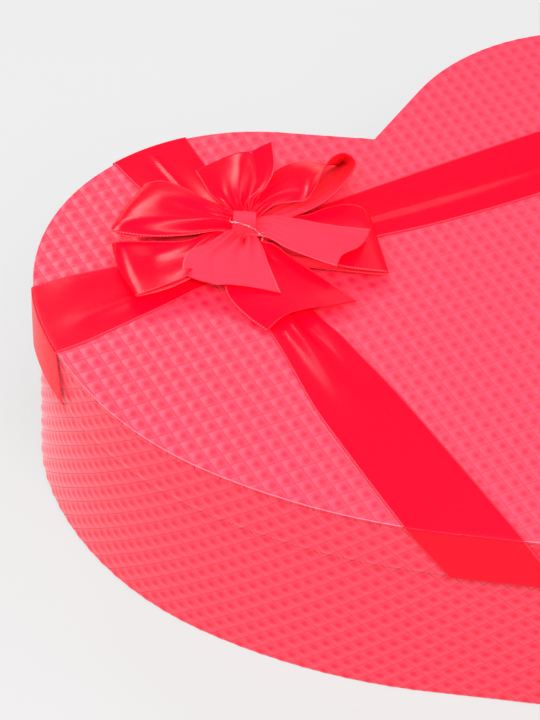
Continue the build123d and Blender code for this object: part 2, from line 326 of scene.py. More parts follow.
# Linings of the base: smooth off-white paper glued on the floor and round the wall below the turned-in rim, and
# a plain sheet of the covering paper pasted under the floor to hide the turned edges.
lining_paper, tree, shader = new_finish("lining_paper")
milk_low, milk_high, milk_speck = (0.64, 0.627, 0.597, 1), (0.71, 0.700, 0.672, 1), (0.54, 0.52, 0.48, 1)
fibre = fibres_in(tree, 1100.0)
milk = mixed(tree, fibre["Height"], milk_low, milk_high)
speck = reckon(tree, "MULTIPLY", fibre["Fleck"], 0.25)
fill(tree, shader, {"Base Color": mixed(tree, speck, milk, milk_speck),
                    "Normal": raised(tree, 0.15, 0.0002, fibre["Height"]),
                    "Roughness": 0.75, "Specular IOR Level": 0.3})

for node in ("base_floor_lining", "base_wall_lining"):
    dress(node, lining_paper)

plain_paper, tree, shader = new_finish("plain_covering_paper")
plain_low, plain_high = (0.80, 0.024, 0.055, 1), (0.88, 0.035, 0.070, 1)
fibre = fibres_in(tree, 1300.0)
fill(tree, shader, {"Base Color": mixed(tree, fibre["Height"], plain_low, plain_high),
                    "Normal": raised(tree, 0.2, 0.0002, fibre["Height"]), "Roughness": 0.6})
dress("base_underside_sheet", plain_paper)


# Boards of the lid: a heart of board for the panel and two strips bent under its edge for the apron, of the same
# grey board as the base and hidden by the papers.
for node in ("lid_panel_board", "lid_apron_left", "lid_apron_right"):
    dress(node, greyboard)


# Wrap of the apron: a strip of the quilted paper on the bias round the lid's side. It starts under the panel's
# edge and is turned in at the bottom, where its pillows make the edge a little wavy.
apron_inset, apron_inner, apron_top, apron_foot = 0.0005, 0.0023, 0.0778, 0.060
top_fold, foot_fold, apron_turned_in = 0.0002, 0.0004, 0.008
apron_rows, apron_phase = 18, (0.20, 0.80)
profile = turn(apron_inset + top_fold, apron_top - top_fold, top_fold, 90, 0, 2)[:-1]
top_row = len(profile)
apron_face = apron_top - apron_foot - top_fold - foot_fold
profile += [(apron_inset, apron_top - top_fold - apron_face * row / apron_rows) for row in range(apron_rows + 1)]
profile += turn(apron_inset + foot_fold, apron_foot + foot_fold, foot_fold, 0, -90, 3)[1:]
profile += turn(apron_inner - foot_fold, apron_foot + foot_fold, foot_fold, -90, -180, 3)
profile += [(apron_inner, apron_foot + apron_turned_in / 2), (apron_inner, apron_foot + apron_turned_in)]
profile += [(apron_inner - paper, apron_foot + apron_turned_in), (apron_inner - paper, apron_foot + paper),
            (apron_inset + paper, apron_foot + paper), (apron_inset + paper, apron_top)]
apron_wrap = new_piece("apron_wrap", wrapped_strip(profile, (top_row, top_row + apron_rows + 1), apron_phase), "lid",
                       "embossed_paper", embossed_paper)
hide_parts("lid_apron_wrap")


# Top wrap of the lid: a heart of the quilted paper with its lines straight along and across the heart. It is glued
# on the panel and turned down over the panel's edge in a tight fold.
lid_top, panel_foot = 0.080, 0.0782
fold_round, trim_band = 0.0003, 0.003
quilt_x, quilt_y, quilt_phase, quilt_steps = 0.00512, 0.00547, 0.71, 6
pillow_mean = 0.25
bm = bmesh.new()
half_width, half_length = lid_rim[:, 0].max(), np.ptp(lid_rim[:, 1]) / 2
columns = int(half_width / quilt_x + 1)
rows = int(half_length / quilt_y + 1)
bmesh.ops.create_grid(bm, x_segments=columns * quilt_steps, y_segments=2 * rows * quilt_steps, size=0.5,
                      calc_uvs=True)
bmesh.ops.translate(bm, verts=bm.verts, vec=(0.5, 0, 0))
bmesh.ops.scale(bm, verts=bm.verts, vec=(columns * quilt_x, 2 * rows * quilt_y, 1))
cut_rim, cut_normals = half_rim(fold_round)
cut_rim = cut_rim + (0, notch_y)
edge_faces, outer_faces = [], []
for face in bm.faces:
    middle = face.calc_center_median()
    nearest = np.argmin(np.hypot(cut_rim[:, 0] - middle.x, cut_rim[:, 1] - middle.y))
    off = np.dot((middle.x, middle.y) - cut_rim[nearest], cut_normals[nearest])
    if off > trim_band:
        outer_faces.append(face)
    elif off > -trim_band:
        edge_faces.append(face)
bmesh.ops.delete(bm, geom=outer_faces, context="FACES")
edge_faces = [face for face in edge_faces if face.is_valid]
trimmed = edge_faces + list({e for f in edge_faces for e in f.edges}) + list({v for f in edge_faces for v in f.verts})
for start, stop in zip(cut_rim[:-1], cut_rim[1:]):
    out = Vector((start[1] - stop[1], stop[0] - start[0], 0)).normalized()
    trimmed = bmesh.ops.bisect_plane(bm, geom=trimmed, dist=1e-7, plane_co=(start[0], start[1], 0), plane_no=out,
                                     clear_outer=True)["geom"]
mirrored = bmesh.ops.duplicate(bm, geom=bm.verts[:] + bm.edges[:] + bm.faces[:])["geom"]
bmesh.ops.scale(bm, verts=[v for v in mirrored if isinstance(v, bmesh.types.BMVert)], vec=(-1, 1, 1))
bmesh.ops.remove_doubles(bm, verts=bm.verts, dist=2e-6)
for vert in bm.verts:
    rise = pillow(vert.co.x / quilt_x - quilt_phase, vert.co.y / quilt_y - quilt_phase)
    vert.co.z = lid_top + pillow_rise * (rise - pillow_mean)
rim_points, rim_normals = whole_rim(fold_round)
edge = [e for e in bm.edges if e.is_boundary]
fold_paint = bm.verts.layers.float.new("fold_paint")
foot_drop = (lid_top - panel_foot) / fold_round
# Rows of the fold: how far out and down, counted in the fold's radius, and the paint there: pale on the edge for a
# painted highlight and rubbing, dark below it for painted shade.
fold_rows = ((0.3, 0.05, 0.6), (0.75, 0.35, 1.0), (1.0, 1.0, 0.0), (1.0, 1.6, -0.4), (1.0, foot_drop - 0.6, -0.5),
             (0.6, foot_drop, -1.0), (0.0, foot_drop, -1.0), (0.0, 1.0, -1.0))
for out, down, paint_at_fold in fold_rows:
    drawn = bmesh.ops.extrude_edge_only(bm, edges=edge)["geom"]
    edge = [e for e in drawn if isinstance(e, bmesh.types.BMEdge)]
    for vert in {v for e in edge for v in e.verts}:
        nearest = np.argmin(np.hypot(rim_points[:, 0] - vert.co.x, rim_points[:, 1] - vert.co.y))
        base = rim_points[nearest] + rim_normals[nearest] * fold_round * out
        slide = np.array((vert.co.x, vert.co.y)) - base
        slide -= rim_normals[nearest] * np.dot(slide, rim_normals[nearest])
        vert.co = (base[0] + slide[0], base[1] + slide[1], lid_top - fold_round * down)
        vert[fold_paint] = paint_at_fold
bmesh.ops.edgeloop_fill(bm, edges=edge)
lay_out(bm, {vert: (vert.co.x / quilt_x - quilt_phase, vert.co.y / quilt_y - quilt_phase) for vert in bm.verts})
bmesh.ops.recalc_face_normals(bm, faces=bm.faces)
top_wrap = new_piece("top_wrap", bm, "lid", "embossed_paper", embossed_paper)
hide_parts("lid_top_wrap")


# Linings of the lid: off-white paper glued under the panel and round the inside of the apron, above its turned-in
# edge. They hide the boards, so the lid is as pale inside as the base.
for node in ("lid_panel_lining", "lid_apron_lining"):
    dress(node, lining_paper)


# Ribbons of the cross: red single-faced satin, one along the heart and one across it. Each lies on the lid, is
# drawn in where they cross under the bow, folds over the rim and is glued under the apron's edge. At the left
# end a corner flares and stands a little off the apron.
knot = np.array([-0.07283, 0.0660])
ribbon_width, ribbon_ply, ribbon_gap, ribbon_bend = 0.032, 0.00026, 0.0003, 0.0006


def smooth_step(low, high, value):
    """A share that grows softly from 0 to 1 as a value goes from low to high."""
    share = np.clip((value - low) / (high - low), 0, 1)
    return share * share * (3 - 2 * share)


def over_the_rim(travel, base):
    """A taut ribbon's way over the rim after a travel straight out: its distance outside the rim and its drop."""
    bend = ribbon_bend
    quarter, straight = bend * pi / 2, base - 2 * bend - apron_foot + ribbon_gap
    if travel < quarter:
        return bend * sin(travel / bend), bend * (1 - cos(travel / bend))
    travel -= quarter
    if travel < straight:
        return bend, bend + travel
    travel -= straight
    if travel < quarter:
        return bend * cos(travel / bend), bend + straight + bend * sin(travel / bend)
    return quarter - travel, 2 * bend + straight


def smooth_through(controls, count):
    """An even row of points on a smooth curve through the control points."""
    controls = np.asarray(controls, float)
    ends = [2 * controls[0] - controls[1]], [2 * controls[-1] - controls[-2]]
    guides = np.concatenate([ends[0], controls, ends[1]])
    where = np.linspace(0, len(controls) - 1, count + 1)
    first = np.minimum(where.astype(int), len(controls) - 2)
    share = (where - first).reshape(-1, *[1] * (controls.ndim - 1))
    a, b, c, d = (guides[first + step] for step in range(4))
    return b + 0.5 * share * (c - a + share * (2 * a - 5 * b + 4 * c - d + share * (3 * (b - c) + d - a)))


def face_up(bm):
    """A sheet's faces made to agree, with its right side up."""
    bmesh.ops.recalc_face_normals(bm, faces=bm.faces)
    if sum(face.normal.z for face in bm.faces) < 0:
        bmesh.ops.reverse_faces(bm, faces=bm.faces)


# Rows beyond the rim: how far along the ribbon each lies, close together at both folds.
rows_beyond = (0.0001, 0.0003, 0.0005, 0.0007, 0.0009, 0.002, 0.004, 0.007, 0.010, 0.013, 0.016, 0.0185,
               0.0196, 0.0199, 0.0202, 0.0205, 0.0215)
# In metres: how far from the knot a ribbon's lift holds, where it has gone, and how near the rim pleats die down. A
# pleat comes up within some millimetres of the knot, and fades from a share of its length on.
lifted_to, level_from, calm_rim = 0.014, 0.03, 0.016
pleat_start, pleat_fade = 14, 0.4
# Shares of its way along the rim by which a flared corner stands off the apron and is drawn up.
flare_out, flare_up = 1 / 6, 1 / 2


def lay_ribbon(heading, lift, edges, pleats, flare):
    """A ribbon laid through the knot's place on a heading, from under the apron's edge to under it again. Edges gives
    how far its two sides lie off the heading along the way, and pleats the soft ridges that run out from the bow.
    The near side of its first end flares along the apron and stands a little off it."""
    run = np.array([cos(heading), sin(heading)])
    across = np.array([-sin(heading), cos(heading)])
    course = smooth_through(edges, 400) / 1000
    rim, normals = whole_rim(0)
    mileage = along(rim)
    base = lid_top + ribbon_gap
    on_lid, columns, folded = 150, 40, len(rows_beyond)
    bm, grid = flat_grid(columns, on_lid + 2 * folded)

    def aside(reach, share):
        low, high = (np.interp(reach, course[:, 0], course[:, side]) for side in (1, 2))
        return low + (high - low) * share

    ends = {}
    ahead = (rim - knot) @ run
    for column in range(columns + 1):
        offset = (rim - knot) @ across - aside(ahead, column / columns)
        hits = np.flatnonzero(np.sign(offset[:-1]) != np.sign(offset[1:]))
        shares = offset[hits] / (offset[hits] - offset[hits + 1])
        reaches = ahead[hits] + shares * (ahead[hits + 1] - ahead[hits])
        found = list(zip(reaches, hits, shares))
        ends[column] = min(found), max(found)
    flat = {}
    for vert, column, row in grid:
        low, high = ends[column]
        at_first, spread_over = row < folded, column / columns
        side = spread_over * 2 - 1
        beyond = folded - row if at_first else row - folded - on_lid
        if beyond <= 0:
            reach = low[0] + (high[0] - low[0]) * (row - folded) / on_lid
            place_on = knot + run * reach + across * aside(reach, spread_over)
            fold = 0
            for way, middle, spread, rise, length in pleats:
                out = way * reach * 1000
                fades = smooth_step(0, pleat_start, out) * (1 - smooth_step(length * pleat_fade, length, out))
                fold += rise * fades * np.exp(-((side - middle) / spread) ** 2)
            room = min(reach - low[0], high[0] - reach)
            height = base + lift * (1 - smooth_step(lifted_to, level_from, abs(reach)))
            height += max(fold, 0) / 1000 * smooth_step(0, calm_rim, room)
            flat[vert] = (side, reach)
        else:
            reach, hit, share = low if at_first else high
            near = 0.001
            lean = (aside(reach + near, spread_over) - aside(reach - near, spread_over)) / (2 * near)
            way = (run + across * lean) / sqrt(1 + lean * lean) * (-1 if at_first else 1)
            normal = normals[hit]
            tangent = np.array([normal[1], -normal[0]])
            tangent = tangent if tangent @ (rim[hit + 1] - rim[hit]) > 0 else -tangent
            travel = rows_beyond[beyond - 1] / (way @ normal)
            out, drop = over_the_rim(rows_beyond[beyond - 1], base)
            mile = mileage[hit] + share * (mileage[hit + 1] - mileage[hit]) + travel * (way @ tangent)
            if at_first:
                drawn_aside = flare * (1 - spread_over) ** 2 * min(drop / (base - apron_foot), 1)
                mile, out, drop = mile + drawn_aside, out + drawn_aside * flare_out, drop - drawn_aside * flare_up
            foot = np.array([np.interp(mile, mileage, rim[:, axis]) for axis in (0, 1)])
            face_out = np.array([np.interp(mile, mileage, normals[:, axis]) for axis in (0, 1)])
            place_on = foot + face_out * out
            height = base - drop
            flat[vert] = (side, reach + travel * np.sign(way @ run))
        vert.co = (place_on[0], place_on[1], height)
    lay_out(bm, {vert: (side * ribbon_width / 2, reach) for vert, (side, reach) in flat.items()})
    face_up(bm)
    reaches = [reach for side, reach in flat.values()]
    return bm, max(reaches) - min(reaches)


woven_edge, given, put_out = new_group("woven_edge", {"Place": "NodeSocketVector"}, ("Selvage", "Picot", "Thread"))
spot = place(woven_edge, "ShaderNodeSeparateXYZ", {"Vector": given["Place"]}).outputs
selvage = ramp(woven_edge, reckon(woven_edge, "ABSOLUTE", spot["X"]), 0.0153, 0.0156, kind="SMOOTHSTEP")
picot_half_pitch = 0.00045
off_picot = reckon(woven_edge, "PINGPONG", spot["Y"], picot_half_pitch)
stitch = ramp(woven_edge, off_picot, 0.00012, 0.00032, kind="SMOOTHSTEP")
weft = place(woven_edge, "ShaderNodeMapping", {"Vector": given["Place"], "Scale": (260.0, 5200.0, 1.0)})
threads = place(woven_edge, "ShaderNodeTexNoise", {"Vector": weft.outputs["Vector"], "Scale": 1.0, "Detail": 3.0})
fill(woven_edge, put_out, {"Selvage": selvage, "Picot": reckon(woven_edge, "MULTIPLY", selvage, stitch),
                           "Thread": threads.outputs["Fac"]})


def ribbon_finish(name, shade, light, picot_tone, roughness, thread_depth):
    """One face of the ribbon: its two shades, the pale loops along its selvage, its gloss and its threads."""
    finish, tree, shader = new_finish(name)
    at = place(tree, "ShaderNodeUVMap").outputs["UV"]
    edge = place(tree, "ShaderNodeGroup", {"Place": at}, node_tree=woven_edge).outputs
    red = mixed(tree, edge["Thread"], shade, light)
    gloss = ramp(tree, edge["Thread"], 0.3, 0.7, roughness - 0.02, roughness + 0.03)
    standing = reckon(tree, "MULTIPLY_ADD", edge["Picot"], 2.0, edge["Thread"])
    fill(tree, shader, {"Base Color": mixed(tree, edge["Picot"], red, picot_tone),
                        "Roughness": reckon(tree, "MULTIPLY_ADD", edge["Selvage"], 0.10, gloss),
                        "Normal": raised(tree, 0.12, thread_depth, standing)})
    return finish, tree, shader


# Satin shines less at a flat angle, where its threads hide each other.
satin_face, tree, shader = ribbon_finish("satin_face", (0.82, 0.0004, 0.011, 1), (0.90, 0.0010, 0.017, 1),
                                         (0.95, 0.055, 0.085, 1), 0.25, 0.00006)
facing = place(tree, "ShaderNodeLayerWeight", {"Blend": 0.5}).outputs["Facing"]
fill(tree, shader, {"Specular IOR Level": ramp(tree, facing, 0.45, 0.75, 0.17, 0.05)})
matte_back, tree, shader = ribbon_finish("matte_back", (0.86, 0.016, 0.036, 1), (0.94, 0.026, 0.052, 1),
                                         (0.95, 0.085, 0.12, 1), 0.62, 0.00008)
fill(tree, shader, {"Specular IOR Level": 0.10})
selvage_edge, tree, shader = ribbon_finish("selvage_edge", (0.66, 0.004, 0.022, 1), (0.74, 0.008, 0.030, 1),
                                           (0.80, 0.020, 0.045, 1), 0.85, 0.00004)
fill(tree, shader, {"Specular IOR Level": 0.05})


def give_ply(piece):
    """The ribbon's own thickness: its first finish outside, the second on the wrong side, the third round the rim."""
    ply = piece.modifiers.new("ply", "SOLIDIFY")
    ply.thickness, ply.offset, ply.material_offset, ply.material_offset_rim = ribbon_ply, 0, 1, 2


def satin_piece(node, bm):
    """A length of the ribbon in the place of its solid, satin on the outside."""
    piece = new_piece("satin_" + node, bm, "lid", "satin_ribbon", satin_face, matte_back, selvage_edge)
    give_ply(piece)
    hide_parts(node)
    return piece


# Edges: the distance along the ribbon and its two sides there. Pleats: which way along the ribbon, the place across
# it, the width, the rise and the length. All but the places and widths across are in millimetres.
ribbon_edges = {
    "cross_ribbon": ((-84, -17.5, 16.2), (-70, -17.0, 15.9), (-58, -15.3, 14.9), (-45, -13.3, 12.8), (-32, -11.0, 10.8),
                     (-20, -8.8, 8.8), (0, -7.8, 7.8), (20, -8.6, 8.8), (35, -10.2, 10.8), (47, -11.5, 11.9),
                     (67, -13.8, 13.1), (87, -15.1, 13.8), (111, -15.7, 14.6), (150, -15.9, 15.4), (230, -16.0, 15.8)),
    "long_ribbon": ((-170, -17.6, 14.4), (-150, -17.2, 14.7), (-122, -16.2, 14.9), (-98, -15.2, 14.7),
                    (-79, -14.1, 14.3), (-62, -12.2, 12.4), (-51, -11.0, 11.1), (-40, -8.9, 10.2), (-20, -7.8, 8.6),
                    (0, -7.4, 8.0), (20, -8.8, 11.0), (35, -9.8, 14.2), (48, -10.5, 16.8), (56, -10.8, 17.9),
                    (64, -11.1, 18.9), (72, -11.3, 19.9)),
}
ribbon_pleats = {
    "cross_ribbon": ((-1, -0.34, 0.26, 1.1, 95), (-1, 0.90, 0.40, 1.0, 95), (1, -0.15, 0.16, 0.9, 150),
                     (1, 0.70, 0.40, 0.8, 70), (1, -0.85, 0.25, 0.6, 70)),
    "long_ribbon": ((-1, 0.16, 0.26, 1.9, 95), (-1, -0.28, 0.12, -0.7, 80), (-1, -0.70, 0.30, 1.2, 75),
                    (-1, 0.85, 0.25, 0.6, 60), (1, 0.02, 0.07, 0.5, 120), (1, -0.60, 0.30, 0.9, 60),
                    (1, 0.65, 0.30, 0.8, 60)),
}
for name, heading, lift, flare in (("cross_ribbon", 0.0, 0.0, 0.0064), ("long_ribbon", pi / 2, 0.0006, 0.0)):
    bm, length = lay_ribbon(heading, lift, ribbon_edges[name], ribbon_pleats[name], flare)
    satin_piece(name, bm)


# Loops of the bow: lengths of the same ribbon doubled over into soft loops, satin side out, two low ones that lie on
# the cross and two that stand up. They are gathered under the knot, so folds run out from it and die away.

# Each row gives a loop's far edge, its near edge, how far it swells between them and how far its middle reaches
# out, from the knot round the fold and back, in millimetres from the knot's place on the lid.
loop_rows = {
    "bow_loop_lower_left": (
        ((2.6, 4.8, 6.5), (-0.8, -1.4, 6.0), (0.3, 0.5, 0.3)),
        ((-8.2, 8.1, 8.0), (-12.7, -0.8, 8.4), (0.4, 0.6, 0.8)),
        ((-18.2, 7.3, 8.0), (-26.1, -9.5, 8.8), (-0.6, -0.2, 0.4)),
        ((-29.0, 12.7, 7.5), (-36.0, -9.8, 7.7), (-1.8, -1.6, -0.6)),
        ((-38.4, 17.1, 7.5), (-44.0, -9.6, 7.0), (-0.8, -1.0, -0.6)),
        ((-40.3, 20.1, 5.0), (-45.6, -8.6, 6.0), (0.0, 0.0, 0.0), (1.6, 2.0, 1.2)),
        ((-38.6, 21.5, 2.5), (-43.8, -8.8, 5.2), (0.0, 0.0, 0.0)),
        ((-28.0, 18.5, 1.8), (-33.0, -9.6, 5.4), (0.0, 0.0, -0.8)),
        ((-15.5, 15.5, 1.8), (-18.5, -6.4, 4.6), (0.0, 0.0, 0.0)),
        ((2.6, 4.8, 3.2), (-0.8, -1.4, 3.0), (0.0, 0.0, 0.0))),
    "bow_loop_lower_right": (
        ((2.6, 4.8, 6.4), (-0.8, -1.4, 6.2), (0.3, 0.5, 0.3)),
        ((16.4, 4.2, 8.0), (12.5, -5.5, 7.0), (0.8, 0.8, 0.4)),
        ((25.1, 1.3, 8.5), (17.0, -18.1, 7.0), (1.6, 1.0, 0.4)),
        ((35.0, 1.6, 8.5), (25.4, -26.6, 6.5), (1.4, 1.2, 0.4)),
        ((42.0, -0.2, 8.5), (33.2, -31.7, 6.0), (1.0, 0.8, 0.4)),
        ((45.6, -3.6, 7.5), (37.8, -33.4, 5.0), (0.6, 0.6, 0.3)),
        ((46.0, -8.2, 5.0), (39.4, -32.3, 3.0), (0.0, 0.0, 0.0)),
        ((43.0, -3.8, 2.5), (36.4, -31.0, 2.4), (0.0, 0.0, 0.0)),
        ((31.5, 4.6, 2.2), (26.0, -24.0, 2.4), (0.0, 0.0, 0.0)),
        ((18.0, 9.0, 2.2), (12.6, -14.0, 2.2), (0.0, 0.0, 0.0)),
        ((2.6, 4.8, 3.0), (-0.8, -1.4, 2.8), (0.0, 0.0, 0.0))),
    "bow_loop_upper_left": (
        ((2.6, 4.8, 13.6), (-0.8, -1.4, 11.4), (0.3, 0.4, 0.3)),
        ((-5.2, 12.9, 15.5), (-7.8, 4.7, 10.6), (0.6, 1.2, 1.6)),
        ((-10.3, 23.5, 16.0), (-18.0, 7.9, 9.9), (1.2, 1.4, 2.4)),
        ((-14.7, 32.3, 14.5), (-30.0, 12.2, 10.4), (1.6, 2.4, 2.2)),
        ((-18.9, 36.4, 12.0), (-39.8, 18.2, 11.2), (0.8, 1.2, 0.8)),
        ((-19.8, 38.4, 9.0), (-40.0, 21.6, 10.0), (0.0, 0.0, 0.0), (0.8, 1.6, 1.2)),
        ((-16.5, 40.0, 5.0), (-36.2, 16.6, 9.0), (0.0, 0.0, 0.0)),
        ((-5.5, 35.0, 4.5), (-21.4, 11.4, 8.2), (0.0, 0.0, 0.0)),
        ((0.5, 21.0, 6.5), (-8.2, 7.6, 8.0), (0.0, 0.0, 0.0)),
        ((2.6, 4.8, 9.6), (-0.8, -1.4, 8.6), (0.0, 0.0, 0.0))),
    "bow_loop_upper_right": (
        ((2.6, 4.8, 14.0), (-0.8, -1.4, 13.2), (0.3, 0.4, 0.3)),
        ((11.6, 15.5, 15.0), (13.3, 4.7, 14.0), (0.8, 1.0, 0.6)),
        ((25.9, 21.1, 15.0), (20.9, 4.3, 13.5), (1.2, 1.8, 1.2)),
        ((36.5, 25.0, 11.0), (25.4, 1.8, 15.0), (1.6, 2.2, 1.4)),
        ((43.6, 24.4, 8.0), (29.8, 3.1, 19.5), (1.0, 1.6, 0.8)),
        ((49.6, 23.8, 5.5), (37.5, 8.9, 23.0), (0.0, 0.0, 0.0)),
        ((53.2, 25.3, 3.8), (44.2, 10.3, 23.0), (0.0, 0.0, 0.0)),
        ((52.4, 27.0, 2.6), (48.0, 7.9, 18.5), (0.0, 0.0, 0.0)),
        ((46.0, 29.0, 2.2), (41.2, 5.1, 13.0), (0.0, 0.0, 0.0)),
        ((36.0, 29.0, 2.2), (31.3, 2.7, 10.0), (0.0, 0.0, 0.0)),
        ((22.0, 24.0, 3.0), (19.6, 1.5, 9.4), (0.0, 0.0, 0.0)),
        ((2.6, 4.8, 9.8), (-0.8, -1.4, 9.6), (0.0, 0.0, 0.0))),
}
# Folds of each loop: the place across it, the width, the rise and how far it runs out from the knot.
loop_folds = {
    "bow_loop_lower_left": ((0.30, 0.10, 0.9, 20), (0.72, 0.12, -0.7, 18)),
    "bow_loop_lower_right": ((0.35, 0.10, 0.8, 18), (0.65, 0.10, -0.6, 16)),
    "bow_loop_upper_left": ((0.80, 0.09, 1.6, 30), (0.93, 0.05, -1.0, 26), (0.45, 0.12, -0.6, 22)),
    "bow_loop_upper_right": ((0.75, 0.10, 1.2, 24), (0.45, 0.10, -0.7, 20)),
}


# Gathers at the knot: their rise and how far they reach out, and what a loop's hidden return side adds to both. The
# return side starts, and the folds end, at a share of the loop's length. Nothing sinks below the lowest height.
gather_rise, gather_reach, added_rise, added_reach = 0.9, 9.5, 1.1, 14
return_start, return_full, folds_end, first_side = 0.50, 0.62, 0.45, 0.35
lowest, loop_least_rows = 0.9, 8


def gather(rows, count, satin_up, folds, waves):
    """A length of ribbon through its rows, with its folds and the fine gathers where it goes under the knot."""
    columns, is_loop = 40, len(rows) >= loop_least_rows
    controls = []
    for row, (far, near, swell, *reach) in enumerate(rows):
        far, near = np.array(far), np.array(near)
        before = np.add(rows[max(row - 1, 0)][0], rows[max(row - 1, 0)][1])
        way = far + near - before
        way = way / max(np.linalg.norm(way), 1e-6)
        rises, out = (0, *swell, 0), (0, *(reach[0] if reach else (0, 0, 0)), 0)
        controls.append([far + (near - far) * share / 4 + (0, 0, rises[share]) + way * out[share]
                         for share in range(5)])
    sheet = smooth_through(controls, count)
    sheet = smooth_through(sheet.transpose(1, 0, 2), columns).transpose(1, 0, 2)
    middle = along(sheet[:, columns // 2]) / 1000
    from_knot = np.linalg.norm(sheet[:, columns // 2, :2], axis=1)
    bm, grid = flat_grid(columns, count)
    at = {}
    for vert, column, row in grid:
        across = column / columns
        below = smooth_step(return_start, return_full, middle[row] / middle[-1]) if is_loop else 0
        fades = np.exp(-(from_knot[row] / (gather_reach + added_reach * below)) ** 2)
        rise = (gather_rise + added_rise * below) * fades * sin(2 * pi * waves * across)
        if middle[row] < middle[-1] * folds_end or not is_loop:
            rise += sum(high * np.exp(-((across - spot) / wide) ** 2 - (from_knot[row] / run) ** 2)
                        for spot, wide, high, run in folds)
        x, y, z = sheet[row, column]
        vert.co = (knot[0] + x / 1000, knot[1] + y / 1000, lid_top + max(z + rise, lowest) / 1000)
        at[vert] = ((across - 0.5) * ribbon_width, middle[row])
    lay_out(bm, at)
    bm.normal_update()
    first = [f.normal.z for f in bm.faces if at[f.verts[0]][1] < middle[-1] * first_side]
    if (sum(first) > 0) != satin_up:
        bmesh.ops.reverse_faces(bm, faces=bm.faces)
    return bm, middle[-1]


fewest_waves, loop_steps = 4.5, 110
for order, (name, rows) in enumerate(loop_rows.items()):
    bm, length = gather(rows, loop_steps, True, loop_folds[name], fewest_waves + order / 2)
    satin_piece(name, bm)


# Tails of the bow: the ribbon's cut ends, fanned out between the loops. The front and the right one show the matte
# wrong side, and the top and the lower one the satin face. Their ends are cut by hand, so the cuts are a little wavy.
tail_rows = {
    "bow_tail_front": (
        ((-1.4, 2.0, 10.4), (2.2, -1.2, 9.8), (0.6, -0.4, 0.6)),
        ((-5.9, 2.1, 11.0), (3.1, -3.8, 10.0), (0.9, -0.4, 0.8)),
        ((-13.9, 0.0, 11.0), (2.8, -8.8, 9.5), (0.8, 1.0, 0.9)),
        ((-21.2, -0.6, 10.5), (1.1, -15.8, 8.8), (1.0, 1.2, 0.8)),
        ((-25.1, -3.2, 9.5), (-0.1, -22.8, 8.0), (1.0, 1.4, 0.4)),
        ((-27.5, -7.9, 8.0), (-1.2, -29.5, 7.0), (0.4, 1.0, 0.2), (2.1, 1.4, 0.0))),
    "bow_tail_lower": (
        ((-1.6, 0.6, 7.6), (1.8, -1.8, 7.6), (0.4, 0.5, 0.4)),
        ((-11.6, -6.3, 6.5), (8.0, -5.8, 7.5), (0.8, 1.0, 0.6)),
        ((-14.8, -13.9, 5.5), (10.7, -14.0, 7.0), (1.0, 1.2, 0.8)),
        ((-16.6, -21.3, 4.0), (14.2, -23.4, 6.5), (1.2, 1.6, 1.0)),
        ((-14.8, -30.4, 2.5), (18.3, -32.6, 5.5), (1.8, 2.2, 1.2)),
        ((-11.3, -39.1, 1.2), (22.1, -41.3, 4.0), (2.4, 2.6, 1.2), (-2.0, -1.4, -0.4))),
    "bow_tail_right": (
        ((2.4, 4.4, 10.8), (-0.6, -1.2, 10.6), (0.6, 0.9, 0.5)),
        ((12.4, 2.8, 11.6), (5.2, -7.1, 12.0), (0.9, 0.6, 0.4)),
        ((19.0, -3.1, 12.3), (8.3, -15.0, 12.5), (0.4, 0.2, 0.0)),
        ((28.0, -10.5, 12.0), (13.5, -24.0, 13.0), (0.0, -0.3, -0.3)),
        ((40.2, -17.5, 11.0), (19.4, -31.0, 12.5), (-0.4, 0.3, 0.6), (1.2, 1.4, -1.0))),
    "bow_tail_top": (
        ((-0.6, 3.0, 14.2), (3.4, 2.0, 14.6), (0.3, 0.4, 0.3)),
        ((-1.7, 11.3, 14.5), (7.2, 7.5, 17.0), (0.8, 0.8, -0.6)),
        ((-2.8, 19.7, 13.5), (13.0, 9.2, 19.5), (1.5, 1.5, -1.2)),
        ((-1.8, 27.7, 12.5), (19.4, 14.8, 22.0), (1.8, 1.8, -1.2)),
        ((-0.7, 35.7, 11.5), (23.9, 25.0, 24.5), (0.8, 1.0, -0.6))),
}
tail_folds = {
    "bow_tail_front": ((0.62, 0.07, -1.4, 12), (0.34, 0.05, -0.9, 26), (0.24, 0.06, 0.6, 24)),
    "bow_tail_lower": ((0.50, 0.12, 0.8, 20), (0.75, 0.10, -0.6, 20)),
    "bow_tail_right": ((0.40, 0.12, 0.5, 18), (0.80, 0.10, -0.5, 14)),
    "bow_tail_top": ((0.72, 0.06, -1.4, 30), (0.86, 0.08, 0.8, 24), (0.35, 0.10, -0.6, 14)),
}
# One side of the right tail is turned under, so its rows are set narrower than the ribbon.
right_tail_width, tail_steps = 0.025, 64
for order, (name, rows) in enumerate(tail_rows.items()):
    satin_up = name in ("bow_tail_lower", "bow_tail_top")
    bm, length = gather(rows, tail_steps, satin_up, tail_folds[name], fewest_waves + order / 2)
    satin_piece(name, bm)


# Knot band: a short piece of the ribbon folded narrow, matte side out, and drawn over the gathered middle of the bow.
# Its ends are tucked under the gathers, so it stands up as a smooth saddle a little behind the bow's middle.
knot_turn = radians(-30)
knot_along = np.array([cos(knot_turn), sin(knot_turn)])
knot_across = np.array([-sin(knot_turn), cos(knot_turn)])
knot_length, knot_depth, knot_height, knot_low, knot_back = 0.0084, 0.0084, 0.0168, 0.0012, 0.0024
knot_flat, woven_half, woven_share = (0.0100, 0.0300), 0.010, 0.6
